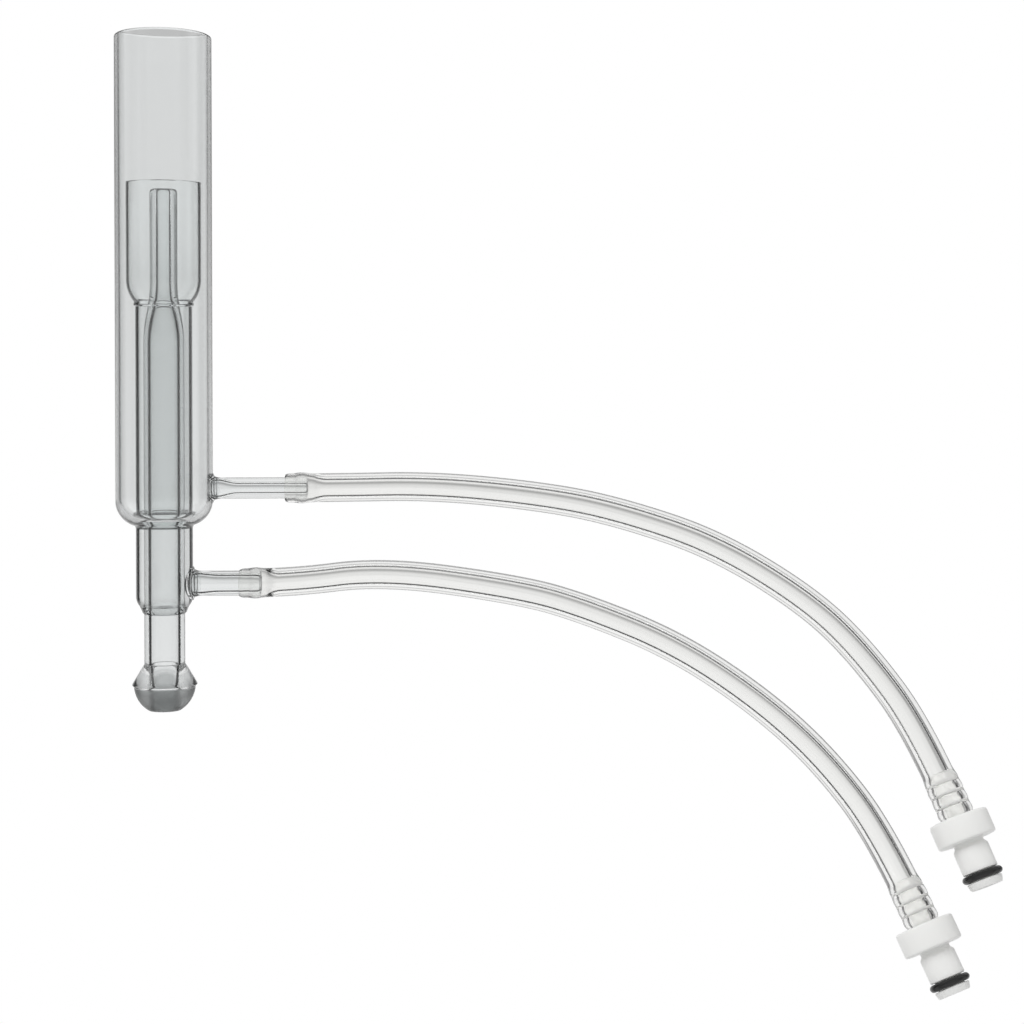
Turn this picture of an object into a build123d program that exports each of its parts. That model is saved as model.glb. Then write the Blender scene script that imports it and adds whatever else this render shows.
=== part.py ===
"""Fused quartz plasma torch with two clear gas hoses and their plug-in connectors.

Millimetres. The torch's axis is +Z and its origin is the centre of the ball joint's
ground sphere. The two gas arms point along +X.
"""
import os
from math import radians, tan

from build123d import *

# ------------------------------------------------------------- driving dimensions
# Outer (plasma) tube
OUTER_R, OUTER_BORE_R = 10.0, 9.0
RIM_Z = 134.9
OUTER_STRAIGHT_Z = 38.2       # below this height the wall rounds in to its base
OUTER_BASE_Z = 33.2
OUTER_FOOT_R, OUTER_FOOT_RISE = 6.6, 1.5    # where the rounded base meets its seal
RIM_ROUND, LIP_ROUND = 0.4, 0.2   # fire-polished rims, and the tulip's thinner lip

# Intermediate tube: a wide tulip head on a narrower stem
TULIP_R, TULIP_BORE_R = 7.7, 7.2
TULIP_LIP_Z = 104.0
TULIP_STRAIGHT_Z = 83.8
TULIP_BASE_Z = 79.1
TULIP_FOOT_R, TULIP_BEAD_R = 6.05, 6.2      # the base, and the bead of its seal
STEM_R, STEM_BORE_R = 5.85, 5.2
STEM_TOP_Z = 78.2
STEM_STRAIGHT_Z = 18.3        # below this height the stem tapers on to the injector
STEM_BASE_Z = 16.2
STEM_FOOT_R, STEM_FOOT_BORE_R = 5.05, 4.45

# Injector: a thick capillary that widens into a barrel, then the neck of the ball
TIP_R, TIP_BORE_R = 2.85, 1.22
TIP_Z = 101.9
FLARE_TOP_Z, FLARE_BASE_Z = 83.0, 70.5
BARREL_R, BARREL_BORE_R = 4.2, 2.8
BARREL_BASE_Z = 14.6
NECK_BASE_Z = 4.2

# Ball joint, size 13/5: a half-inch sphere with a 5 mm way through its end
BALL_R = 6.35
RIDGE_R, RIDGE_Z = 6.7, 0.0   # blunt ridge above the ground zone
GROUND_TOP_Z, BALL_END_Z = -0.5, -5.4
BALL_WAY_R = 2.5

# Gas arms: each axis's height, its radii, the tube that it stands on, its end and its hose's start
PLASMA_ARM = dict(z=40.7, r=2.2, bore=0.9, root_bore=1.6, root=OUTER_R, wall=1.0, end=30.0, hose=25.3)
AUXILIARY_ARM = dict(z=20.9, r=2.6, bore=1.55, root_bore=1.85, root=STEM_R, wall=0.65, end=20.3, hose=15.7)
BEAD_RISE = 0.3               # the olive on each arm's end stands this much proud
BEAD_BACK = 1.3               # from the olive's middle to the arm's end
ROOT_TAPER = (1.0, 5.4)       # past the wall, where the root's bore starts and ends narrowing

# Hoses
HOSE_R, HOSE_BORE_R = 3.0, 1.6
CUFF_LENGTH = 5.5             # stretch that the arm holds open
CUFF_R, OLIVE_CUFF_R = 3.05, 3.25
TURNING_GAP = 0.05            # so that a hose can turn on its arm

# The routes end on the collars of the connectors. Their first runs lie on the arms' axes.
PLASMA_ROUTE = [
    (25.3, 0, 40.7),
    (35.5, 0, 40.7),
    (56.6, -3.3, 41.2),
    (80.7, -10.6, 39.0),
    (95.2, -16.2, 36.0),
    (112.3, -23.1, 30.4),
    (128.9, -30.5, 20.3),
    (138.3, -35.5, 11.1),
    (148.1, -42.1, -2.9),
    (153.6, -48.1, -17.7),
]
AUXILIARY_ROUTE = [
    (15.7, 0, 20.9),
    (25.9, 0, 20.9),
    (45.9, -2.8, 23.6),
    (74.5, -10.9, 20.3),
    (87.0, -16.0, 17.1),
    (103.8, -22.9, 10.9),
    (118.8, -29.8, 1.6),
    (130.8, -36.0, -8.8),
    (141.0, -42.6, -22.3),
    (147.1, -48.8, -37.0),
]
ARC_SHARE = 0.45              # of the shorter run, taken by each bend

# Plug-in connector, measured along its axis from the face that the hose butts on
TAIL_LENGTH = 8.4             # barbed tail, inside the hose
TAIL_R, TAIL_BORE_R = 1.65, 1.1
BARB_R, BARB_PITCH, BARB_COUNT = 2.2, 2.1, 3
BARB_LENGTH = 1.7
STRETCHED_R = 3.4             # the hose's outside over the barbs
BARB_CUFF_LENGTH = 8.9        # stretch of hose that the tail opens, from the collar
BARB_GAP = 0.02
COLLAR_R, COLLAR_LENGTH = 5.5, 4.5
COLLAR_CHAMFER = 0.5
LATCH_R, LATCH_LENGTH = 2.8, 1.2
NOSE_R, NOSE_BORE_R = 3.3, 1.8
SEAL_CENTRE = 5.2             # from the top of the nose to the middle of the O-ring
SEAL_CORD_R = 0.65
SEAL_GROOVE_R = 2.5
SEAL_GROOVE_HALF = 0.8
TIP_LENGTH = 2.1              # from the middle of the O-ring to the end
TIP_END_R = 3.0
BORE_STEP = 1.4               # inside the collar, where the tail's bore opens out

NOSE_TOP = COLLAR_LENGTH + LATCH_LENGTH
SEAL_POS = NOSE_TOP + SEAL_CENTRE
CONNECTOR_END = SEAL_POS + TIP_LENGTH

pieces = []


def finish(part, label):
    """Name a finished piece and keep it for export."""
    part.label = label
    pieces.append(part)


# ------------------------------------------------------------------- glass tubes
with BuildPart() as outer_tube:
    with BuildSketch(Plane.XZ):
        with BuildLine():
            outer_base = (OUTER_FOOT_R, OUTER_BASE_Z)
            inner_base = (OUTER_FOOT_R, OUTER_BASE_Z + OUTER_FOOT_RISE)
            shoulder = TangentArc((OUTER_R, OUTER_STRAIGHT_Z), outer_base, tangent=(0, -1))
            Line(shoulder @ 1, inner_base)
            bowl = TangentArc((OUTER_BORE_R, OUTER_STRAIGHT_Z + 0.4), inner_base, tangent=(0, -1))
            Polyline(bowl @ 0, (OUTER_BORE_R, RIM_Z), (OUTER_R, RIM_Z), shoulder @ 0)
        make_face()
    revolve(axis=Axis.Z)
    rim_edges = outer_tube.edges().filter_by(GeomType.CIRCLE).group_by(Axis.Z)[-1]
    fillet(rim_edges, RIM_ROUND)
    with BuildSketch(Plane.YZ.offset(OUTER_R / 2)):
        with Locations((0, PLASMA_ARM["z"])):
            Circle(PLASMA_ARM["root_bore"])
    extrude(amount=OUTER_R, mode=Mode.SUBTRACT)
finish(outer_tube.part, "outer_tube")

with BuildPart() as outer_seal_ring:
    with BuildSketch(Plane.XZ):
        with BuildLine():
            foot = (STEM_R, OUTER_BASE_Z - 0.8)
            crown = (STEM_R, OUTER_BASE_Z + 2.2)
            under = TangentArc(foot, (OUTER_FOOT_R, OUTER_BASE_Z), tangent=(0, 1))
            Line(under @ 1, (OUTER_FOOT_R, OUTER_BASE_Z + OUTER_FOOT_RISE))
            over = TangentArc(crown, (OUTER_FOOT_R, OUTER_BASE_Z + OUTER_FOOT_RISE), tangent=(0, -1))
            Line(crown, foot)
        make_face()
    revolve(axis=Axis.Z)
finish(outer_seal_ring.part, "outer_seal_ring")

with BuildPart() as intermediate_tube:
    with BuildSketch(Plane.XZ):
        with BuildLine():
            skirt = TangentArc((TULIP_R, TULIP_STRAIGHT_Z), (TULIP_FOOT_R, TULIP_BASE_Z), tangent=(0, -1))
            Line(skirt @ 1, (STEM_BORE_R, TULIP_BASE_Z))
            cup = TangentArc(
                (TULIP_BORE_R, TULIP_STRAIGHT_Z + 0.2), (STEM_BORE_R, TULIP_BASE_Z), tangent=(0, -1)
            )
            Polyline(cup @ 0, (TULIP_BORE_R, TULIP_LIP_Z), (TULIP_R, TULIP_LIP_Z), skirt @ 0)
        make_face()
    revolve(axis=Axis.Z)
    lip_edges = intermediate_tube.edges().filter_by(GeomType.CIRCLE).group_by(Axis.Z)[-1]
    fillet(lip_edges, LIP_ROUND)
finish(intermediate_tube.part, "intermediate_tube")

with BuildPart() as intermediate_seal_ring:
    with BuildSketch(Plane.XZ):
        with BuildLine():
            bead_middle = (TULIP_BEAD_R, (TULIP_BASE_Z + STEM_TOP_Z) / 2)
            bulge = ThreePointArc((TULIP_FOOT_R, TULIP_BASE_Z), bead_middle, (STEM_R, STEM_TOP_Z))
            Polyline(bulge @ 1, (STEM_BORE_R, STEM_TOP_Z), (STEM_BORE_R, TULIP_BASE_Z), bulge @ 0)
        make_face()
    revolve(axis=Axis.Z)
finish(intermediate_seal_ring.part, "intermediate_seal_ring")

with BuildPart() as intermediate_stem:
    with BuildSketch(Plane.XZ):
        with BuildLine():
            Polyline(
                (STEM_R, STEM_TOP_Z),
                (STEM_R, STEM_STRAIGHT_Z),
                (STEM_FOOT_R, STEM_BASE_Z),
                (STEM_FOOT_BORE_R, STEM_BASE_Z),
                (STEM_BORE_R, STEM_STRAIGHT_Z + 0.2),
                (STEM_BORE_R, STEM_TOP_Z),
                close=True,
            )
        make_face()
    revolve(axis=Axis.Z)
    with BuildSketch(Plane.YZ.offset(STEM_R / 2)):
        with Locations((0, AUXILIARY_ARM["z"])):
            Circle(AUXILIARY_ARM["root_bore"])
    extrude(amount=STEM_R, mode=Mode.SUBTRACT)
finish(intermediate_stem.part, "intermediate_stem")

with BuildPart() as inner_seal_ring:
    with BuildSketch(Plane.XZ):
        with BuildLine():
            Polyline(
                (BARREL_R, BARREL_BASE_Z),
                (STEM_FOOT_R, STEM_BASE_Z),
                (STEM_FOOT_BORE_R, STEM_BASE_Z),
                (BARREL_R, STEM_BASE_Z + 0.7),
                close=True,
            )
        make_face()
    revolve(axis=Axis.Z)
finish(inner_seal_ring.part, "inner_seal_ring")

with BuildPart() as injector_capillary:
    with BuildSketch(Plane.XZ):
        with Locations(((TIP_R + TIP_BORE_R) / 2, (TIP_Z + FLARE_TOP_Z) / 2)):
            Rectangle(TIP_R - TIP_BORE_R, TIP_Z - FLARE_TOP_Z)
    revolve(axis=Axis.Z)
    tip_edges = injector_capillary.edges().filter_by(GeomType.CIRCLE).group_by(Axis.Z)[-1]
    fillet(tip_edges, RIM_ROUND)
finish(injector_capillary.part, "injector_capillary")

with BuildPart() as injector_barrel:
    with BuildSketch(Plane.XZ):
        with BuildLine():
            flare_mid_z = (FLARE_TOP_Z + FLARE_BASE_Z) / 2
            outside_mid = ((TIP_R + BARREL_R) / 2, flare_mid_z)
            inside_mid = ((TIP_BORE_R + BARREL_BORE_R) / 2, flare_mid_z)
            out_1 = TangentArc((TIP_R, FLARE_TOP_Z), outside_mid, tangent=(0, -1))
            out_2 = TangentArc(outside_mid, (BARREL_R, FLARE_BASE_Z), tangent=out_1 % 1)
            in_1 = TangentArc((TIP_BORE_R, FLARE_TOP_Z), inside_mid, tangent=(0, -1))
            in_2 = TangentArc(inside_mid, (BARREL_BORE_R, FLARE_BASE_Z), tangent=in_1 % 1)
            Line(out_1 @ 0, in_1 @ 0)
            Polyline(
                out_2 @ 1, (BARREL_R, BARREL_BASE_Z), (BARREL_BORE_R, BARREL_BASE_Z), in_2 @ 1
            )
        make_face()
    revolve(axis=Axis.Z)
finish(injector_barrel.part, "injector_barrel")

with BuildPart() as neck_tube:
    with BuildSketch(Plane.XY.offset(NECK_BASE_Z)):
        Circle(BARREL_R)
        Circle(BARREL_BORE_R, mode=Mode.SUBTRACT)
    extrude(amount=BARREL_BASE_Z - NECK_BASE_Z)
finish(neck_tube.part, "neck_tube")

with BuildPart() as ball_joint:
    with BuildSketch(Plane.XZ):
        with BuildLine():
            ground_top = ((BALL_R**2 - GROUND_TOP_Z**2) ** 0.5, GROUND_TOP_Z)
            ground_middle = (BALL_R * 0.8, -BALL_R * 0.6)
            ground_end = ((BALL_R**2 - BALL_END_Z**2) ** 0.5, BALL_END_Z)
            cone = Line((BARREL_R, NECK_BASE_Z), (RIDGE_R, RIDGE_Z))
            Line(cone @ 1, ground_top)
            zone = ThreePointArc(ground_top, ground_middle, ground_end)
            Polyline(
                zone @ 1,
                (BALL_WAY_R, BALL_END_Z),
                (BALL_WAY_R, RIDGE_Z - 1.2),
                (BARREL_BORE_R, RIDGE_Z - 0.6),
                (BARREL_BORE_R, NECK_BASE_Z),
                cone @ 0,
            )
        make_face()
    revolve(axis=Axis.Z)
finish(ball_joint.part, "ball_joint")


# --------------------------------------------------------------------- gas arms
def gas_arm(arm, label):
    """A side arm with a stepped bore and an olive at its end, saddled on its tube."""
    axis = Axis((0, 0, arm["z"]), (1, 0, 0))
    bead_x = arm["end"] - BEAD_BACK
    root_x = arm["root"]
    with BuildPart() as body:
        with BuildSketch(Plane.XZ):
            with BuildLine():
                Polyline(
                    (root_x - arm["wall"], arm["z"]),
                    (root_x - arm["wall"], arm["z"] + arm["r"]),
                    (bead_x - 1.5, arm["z"] + arm["r"]),
                    (bead_x - 0.4, arm["z"] + arm["r"] + BEAD_RISE),
                    (bead_x + 0.5, arm["z"] + arm["r"] + BEAD_RISE),
                    (arm["end"], arm["z"] + arm["r"] - 0.4),
                    (arm["end"], arm["z"]),
                    close=True,
                )
            make_face()
        revolve(axis=axis)
        with BuildSketch(Plane.XZ):
            with BuildLine():
                Polyline(
                    (root_x - arm["wall"] - 1, arm["z"]),
                    (root_x - arm["wall"] - 1, arm["z"] + arm["root_bore"]),
                    (root_x + ROOT_TAPER[0], arm["z"] + arm["root_bore"]),
                    (root_x + ROOT_TAPER[1], arm["z"] + arm["bore"]),
                    (arm["end"] + 1, arm["z"] + arm["bore"]),
                    (arm["end"] + 1, arm["z"]),
                    close=True,
                )
            make_face()
        revolve(axis=axis, mode=Mode.SUBTRACT)
        with Locations((0, 0, arm["z"])):
            Cylinder(arm["root"], 6 * arm["r"], mode=Mode.SUBTRACT)
    finish(body.part, label)


def arm_weld(arm, label):
    """The concave fillet of glass around an arm's root."""
    axis = Axis((0, 0, arm["z"]), (1, 0, 0))
    with BuildPart() as body:
        with BuildSketch(Plane.XZ):
            with BuildLine():
                foot = (arm["root"] + 0.1, arm["z"] + arm["r"] + 0.9)
                tail = (arm["root"] + 1.6, arm["z"] + arm["r"])
                flank = TangentArc(tail, foot, tangent=(-1, 0))
                Polyline(
                    flank @ 1,
                    (arm["root"] - 1.2, arm["z"] + arm["r"] + 0.9),
                    (arm["root"] - 1.2, arm["z"] + arm["r"]),
                    flank @ 0,
                )
            make_face()
        revolve(axis=axis)
        with Locations((0, 0, arm["z"])):
            Cylinder(arm["root"], 6 * arm["r"], mode=Mode.SUBTRACT)
    finish(body.part, label)


gas_arm(PLASMA_ARM, "plasma_gas_arm")
gas_arm(AUXILIARY_ARM, "auxiliary_gas_arm")
arm_weld(PLASMA_ARM, "plasma_arm_weld")
arm_weld(AUXILIARY_ARM, "auxiliary_arm_weld")


# ------------------------------------------------------------- hoses and connectors
def bend_radii(points):
    """The radius at each corner of a route, as large as its shorter run allows."""
    radii = []
    for before, here, after in zip(points, points[1:], points[2:]):
        run_in = Vector(*here) - Vector(*before)
        run_out = Vector(*after) - Vector(*here)
        half_turn = run_in.get_angle(run_out) / 2
        shorter = min(run_in.length, run_out.length)
        radii.append(ARC_SHARE * shorter / tan(radians(half_turn)))
    return radii


def end_plane(route):
    """Sketch plane at a route's end: x across the connector, y along it to its tip."""
    along = (Vector(*route[-1]) - Vector(*route[-2])).normalized()
    across = along.cross(Vector(0, 1, 0)).normalized()
    return Plane(origin=route[-1], x_dir=across, z_dir=across.cross(along)), Axis(route[-1], along)


def barb_outline(clearance=0.0):
    """The barbed tail's outside, from its free end to the collar, as (radius, height)."""
    points = [(TAIL_R + clearance, -TAIL_LENGTH)]
    for i in range(BARB_COUNT):
        start = -TAIL_LENGTH + 0.3 + i * BARB_PITCH
        points.append((TAIL_R + clearance, start))
        points.append((BARB_R + clearance, start + BARB_LENGTH))
        points.append((TAIL_R + clearance, start + BARB_LENGTH + 0.1))
    points.append((TAIL_R + clearance, 0))
    return points


def hose(arm, route, label):
    """A clear hose: a cuff opened by the arm, a plain tube, and a cuff stretched over the barbs."""
    z0, x0 = arm["z"], arm["hose"]
    bead_x = arm["end"] - BEAD_BACK
    slack = arm["r"] + TURNING_GAP
    proud = slack + BEAD_RISE
    cuff_end = x0 + CUFF_LENGTH
    plug_plane, plug_axis = end_plane(route)
    radii = bend_radii(route)
    tube_start = (cuff_end, 0, z0)
    tube_end = tuple(Vector(*route[-1]) - plug_axis.direction * BARB_CUFF_LENGTH)
    with BuildPart() as body:
        with BuildLine():
            path = FilletPolyline(tube_start, *route[1:-1], tube_end, radius=radii)
        with BuildSketch(Plane(origin=tube_start, z_dir=(1, 0, 0))):
            Circle(HOSE_R)
            Circle(HOSE_BORE_R, mode=Mode.SUBTRACT)
        sweep(path=path)
        with BuildSketch(Plane.XZ):
            with BuildLine():
                Polyline(
                    (x0, z0 + slack),
                    (x0, z0 + CUFF_R),
                    (bead_x - 1.5, z0 + CUFF_R),
                    (bead_x, z0 + OLIVE_CUFF_R),
                    (cuff_end, z0 + HOSE_R),
                    (cuff_end, z0 + HOSE_BORE_R),
                    (arm["end"] + 0.3, z0 + proud),
                    (bead_x - 0.5, z0 + proud),
                    (bead_x - 1.6, z0 + slack),
                    close=True,
                )
            make_face()
        revolve(axis=Axis((0, 0, z0), (1, 0, 0)))
        with BuildSketch(plug_plane):
            with BuildLine():
                Polyline(
                    (HOSE_BORE_R, -BARB_CUFF_LENGTH),
                    (HOSE_R, -BARB_CUFF_LENGTH),
                    (STRETCHED_R, BARB_LENGTH - TAIL_LENGTH),
                    (STRETCHED_R, -1.5),
                    (STRETCHED_R - 0.4, 0),
                    *reversed(barb_outline(BARB_GAP)),
                    close=True,
                )
            make_face()
        revolve(axis=plug_axis)
    finish(body.part, label)
    length = path.length + CUFF_LENGTH + BARB_CUFF_LENGTH
    print(label, "length", round(length, 1), "volume", round(body.part.volume, 1))
    print("  radii", [round(r, 1) for r in radii])


def connector(route, label):
    """A one-piece moulded plug: barbed tail, collar, latch groove and nose."""
    plug_plane, plug_axis = end_plane(route)
    with BuildPart() as body:
        with BuildSketch(plug_plane):
            with BuildLine():
                Polyline(
                    (TAIL_BORE_R, -TAIL_LENGTH),
                    *barb_outline(),
                    (COLLAR_R - COLLAR_CHAMFER, 0),
                    (COLLAR_R, COLLAR_CHAMFER),
                    (COLLAR_R, COLLAR_LENGTH - COLLAR_CHAMFER),
                    (COLLAR_R - COLLAR_CHAMFER, COLLAR_LENGTH),
                    (LATCH_R, COLLAR_LENGTH),
                    (LATCH_R, NOSE_TOP - 0.4),
                    (NOSE_R, NOSE_TOP),
                    (NOSE_R, SEAL_POS - SEAL_GROOVE_HALF),
                    (SEAL_GROOVE_R, SEAL_POS - SEAL_GROOVE_HALF),
                    (SEAL_GROOVE_R, SEAL_POS + SEAL_GROOVE_HALF),
                    (NOSE_R, SEAL_POS + SEAL_GROOVE_HALF),
                    (TIP_END_R, CONNECTOR_END),
                    (NOSE_BORE_R, CONNECTOR_END),
                    (NOSE_BORE_R, BORE_STEP),
                    (TAIL_BORE_R, BORE_STEP - 0.7),
                    close=True,
                )
            make_face()
        revolve(axis=plug_axis)
    finish(body.part, label)


def seal(route, label):
    """The O-ring in the nose's groove."""
    plug_plane, plug_axis = end_plane(route)
    with BuildPart() as body:
        with BuildSketch(plug_plane):
            with Locations((SEAL_GROOVE_R + SEAL_CORD_R, SEAL_POS)):
                Circle(SEAL_CORD_R)
        revolve(axis=plug_axis)
    finish(body.part, label)


for name, arm, route in (
    ("plasma", PLASMA_ARM, PLASMA_ROUTE),
    ("auxiliary", AUXILIARY_ARM, AUXILIARY_ROUTE),
):
    hose(arm, route, f"{name}_hose")
    connector(route, f"{name}_connector")
    seal(route, f"{name}_connector_seal")

os.makedirs("parts", exist_ok=True)
for piece in pieces:
    export_step(piece, f"parts/{piece.label}.step")
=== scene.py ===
"""Looks for a fused quartz plasma torch with two clear gas hoses and their plug-in connectors."""

from math import atan2, ceil, cos, pi, radians, sin, tau

import bpy
from mathutils import Matrix, Vector


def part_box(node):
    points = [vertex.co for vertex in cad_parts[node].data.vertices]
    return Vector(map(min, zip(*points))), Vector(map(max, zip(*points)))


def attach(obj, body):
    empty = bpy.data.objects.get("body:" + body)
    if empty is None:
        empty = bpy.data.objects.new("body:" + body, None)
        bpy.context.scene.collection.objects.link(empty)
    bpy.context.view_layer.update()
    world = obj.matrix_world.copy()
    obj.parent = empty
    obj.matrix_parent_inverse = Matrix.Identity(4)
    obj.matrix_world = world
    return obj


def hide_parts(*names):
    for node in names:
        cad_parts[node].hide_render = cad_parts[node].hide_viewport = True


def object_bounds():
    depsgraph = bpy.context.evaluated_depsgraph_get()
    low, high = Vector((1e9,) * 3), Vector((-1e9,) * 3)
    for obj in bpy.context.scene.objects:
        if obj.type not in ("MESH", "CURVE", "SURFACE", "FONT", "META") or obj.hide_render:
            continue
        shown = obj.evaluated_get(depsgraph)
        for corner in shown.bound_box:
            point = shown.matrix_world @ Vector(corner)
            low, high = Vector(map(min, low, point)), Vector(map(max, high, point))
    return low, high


bl_info = {
    "name": "Quartz torch and gas lines",
    "version": (1, 0, 0),
    "blender": (4, 5, 0),
    "location": "3D View > Sidebar > Torch",
    "description": "Models the glass tubes, hoses and connectors of a quartz plasma torch",
    "category": "Object",
}

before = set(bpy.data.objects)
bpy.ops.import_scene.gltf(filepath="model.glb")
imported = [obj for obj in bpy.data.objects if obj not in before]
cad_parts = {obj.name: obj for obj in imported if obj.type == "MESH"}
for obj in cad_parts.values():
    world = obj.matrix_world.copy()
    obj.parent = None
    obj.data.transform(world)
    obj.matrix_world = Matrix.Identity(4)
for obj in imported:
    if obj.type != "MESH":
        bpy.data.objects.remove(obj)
CAD_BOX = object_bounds()
MM = 0.001

QUARTZ_IOR = 1.458
VINYL_IOR = 1.53
BALL_R = 6.35  # a 13/5 joint's sphere, in millimetres
CREASE = radians(38)  # sharper edges than this are shaded as edges
MERGE = 0.002 * MM  # points closer than this are one point

# The routes' points, in metres: each starts on its arm and ends on its connector's collar.
PLASMA_ROUTE = [
    (0.0253, 0, 0.0407),
    (0.0355, 0, 0.0407),
    (0.0566, -0.0033, 0.0412),
    (0.0807, -0.0106, 0.0390),
    (0.0952, -0.0162, 0.0360),
    (0.1123, -0.0231, 0.0304),
    (0.1289, -0.0305, 0.0203),
    (0.1383, -0.0355, 0.0111),
    (0.1481, -0.0421, -0.0029),
    (0.1536, -0.0481, -0.0177),
]
AUXILIARY_ROUTE = [
    (0.0157, 0, 0.0209),
    (0.0259, 0, 0.0209),
    (0.0459, -0.0028, 0.0236),
    (0.0745, -0.0109, 0.0203),
    (0.0870, -0.0160, 0.0171),
    (0.1038, -0.0229, 0.0109),
    (0.1188, -0.0298, 0.0016),
    (0.1308, -0.0360, -0.0088),
    (0.1410, -0.0426, -0.0223),
    (0.1471, -0.0488, -0.0370),
]


# ------------------------------------------------------------------ sizes from the frame
def low(node):
    """The lowest corner of a node's box, in millimetres."""
    return Vector(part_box(node)[0]) / MM


def high(node):
    """The highest corner of a node's box, in millimetres."""
    return Vector(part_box(node)[1]) / MM


# ------------------------------------------------------------------------- properties
def size(name, description, default):
    """A length in millimetres that a user may change."""
    return bpy.props.FloatProperty(
        name=name, description=description, default=default, min=0.0, soft_max=200.0, precision=3
    )


def colour(name, description, default):
    """A colour kept as its sRGB hex value."""
    return bpy.props.StringProperty(name=name, description=description, default=default)


class TorchGlass(bpy.types.PropertyGroup):
    outer_wall: size("Outer wall", "Wall of the outer tube", 1.0)
    tulip_wall: size("Tulip wall", "Wall of the intermediate tube's head", 0.5)
    stem_wall: size("Stem wall", "Wall of the intermediate tube's stem", 0.65)
    tip_bore: size("Tip bore", "Bore radius of the injector's capillary", 1.22)
    barrel_bore: size("Barrel bore", "Bore radius of the injector's barrel", 2.8)
    way: size("Ball way", "Radius of the way through the ball's end", 2.5)
    weld_gap: size("Weld line", "Width of the line that shows where two tubes are welded", 0.02)
    round_base: size("Base height", "Height over which the outer tube rounds in", 5.0)


class TorchArms(bpy.types.PropertyGroup):
    olive: size("Olive", "How far the olive on an arm's end stands proud", 0.3)
    olive_back: size("Olive place", "From the middle of the olive to the arm's end", 1.3)
    plasma_bore: size("Plasma bore", "Bore radius of the upper arm", 0.9)
    plasma_root: size("Plasma root bore", "Bore radius at the upper arm's root", 1.6)
    auxiliary_bore: size("Auxiliary bore", "Bore radius of the lower arm", 1.55)
    auxiliary_root: size("Auxiliary root bore", "Bore radius at the lower arm's root", 1.85)


class TorchHoses(bpy.types.PropertyGroup):
    radius: size("Radius", "Outside radius of a hose", 3.0)
    bore: size("Bore", "Bore radius of a hose", 1.6)
    cuff: size("Cuff", "How much wider a hose is outside where an arm opens it", 0.05)
    barb_cuff: size("Barb cuff", "Length that the barbed tail opens", 8.9)
    section_step: size("Section step", "Distance between the hose's sections", 0.45)
    sides: bpy.props.IntProperty(name="Sides", description="Sides of a hose's section", default=72, min=12)


class TorchConnector(bpy.types.PropertyGroup):
    tail_length: size("Tail", "Length of the barbed tail", 8.4)
    tail: size("Tail radius", "Radius of the tail between its barbs", 1.65)
    tail_bore: size("Tail bore", "Bore radius of the tail", 1.1)
    barb: size("Barb radius", "Radius of a barb's edge", 2.2)
    barb_pitch: size("Barb pitch", "From one barb to the next", 2.1)
    barb_length: size("Barb length", "Length of a barb's slope", 1.7)
    collar: size("Collar radius", "Radius of the collar", 5.5)
    collar_length: size("Collar length", "Length of the collar", 4.5)
    latch: size("Latch radius", "Radius of the latch groove behind the collar", 2.8)
    latch_length: size("Latch length", "Length of the latch groove", 1.2)
    nose: size("Nose radius", "Radius of the nose", 3.3)
    nose_bore: size("Nose bore", "Bore radius of the nose", 1.8)
    seal_back: size("Seal place", "From the top of the nose to the middle of the O-ring", 5.2)
    seal_cord: size("Seal cord", "Radius of the O-ring's cord", 0.65)
    seal_seat: size("Seal seat", "Radius of the O-ring's groove", 2.5)
    end: size("End radius", "Radius of the nose's end", 3.0)
    end_length: size("End length", "From the middle of the O-ring to the end", 2.1)


class TorchFinish(bpy.types.PropertyGroup):
    # The three edge colours are painted shade: the glass and the hose are painted darker where they are seen
    # along their surface.
    quartz: colour("Quartz", "Fused quartz seen square on", "#FAFBFB")
    quartz_painted_edge_shade: colour("Quartz edge", "Fused quartz seen along its surface", "#5E6060")
    tube_painted_edge_shade: colour("Tube edge", "The wide drawn tube seen along its surface", "#8E9090")
    ground: colour("Ground quartz", "Fine ground zone of the ball", "#C2C4C4")
    vinyl: colour("Hose", "Clear plasticised vinyl", "#FCFCFB")
    vinyl_painted_edge_shade: colour("Hose edge", "Clear vinyl seen along its surface", "#9C9D9D")
    acetal: colour("Connector", "Natural acetal", "#F1F1EF")
    rubber: colour("O-ring", "Greased nitrile rubber", "#0B0B0B")


# ---------------------------------------------------------------------------- outlines
def leaving_upright(start, end, count):
    """Points of the arc that leaves start along the axis and reaches end, both included."""
    dr, dz = end[0] - start[0], end[1] - start[1]
    radius = (dr * dr + dz * dz) / (2 * dr)
    centre_r = start[0] + radius
    last = atan2(dz, (centre_r - end[0]) * (1 if radius > 0 else -1))
    points = []
    for i in range(count + 1):
        angle = last * i / count
        points.append((centre_r - radius * cos(angle), start[1] + abs(radius) * sin(angle)))
    return points


def rounded_rim(inner, outer, height, upward=True, count=8):
    """A half circle across a wall's end, from its outside to its inside."""
    middle, radius = (inner + outer) / 2, (outer - inner) / 2
    way = 1 if upward else -1
    points = []
    for i in range(count + 1):
        angle = pi * i / count
        points.append((middle + radius * cos(angle), height - way * radius + way * radius * sin(angle)))
    return points


def flare(top, bottom, count):
    """The S-shaped line from top to bottom, upright at both, as two equal arcs."""
    middle = ((top[0] + bottom[0]) / 2, (top[1] + bottom[1]) / 2)
    return leaving_upright(top, middle, count) + leaving_upright(bottom, middle, count)[-2::-1]


def ease(t):
    """A smooth step from 0 to 1."""
    t = min(max(t, 0.0), 1.0)
    return t * t * (3 - 2 * t)


# --------------------------------------------------------------------------- modelling
def select_none():
    """Leave nothing selected, so that an operator acts on its own piece alone."""
    bpy.ops.object.select_all(action="DESELECT")


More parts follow.
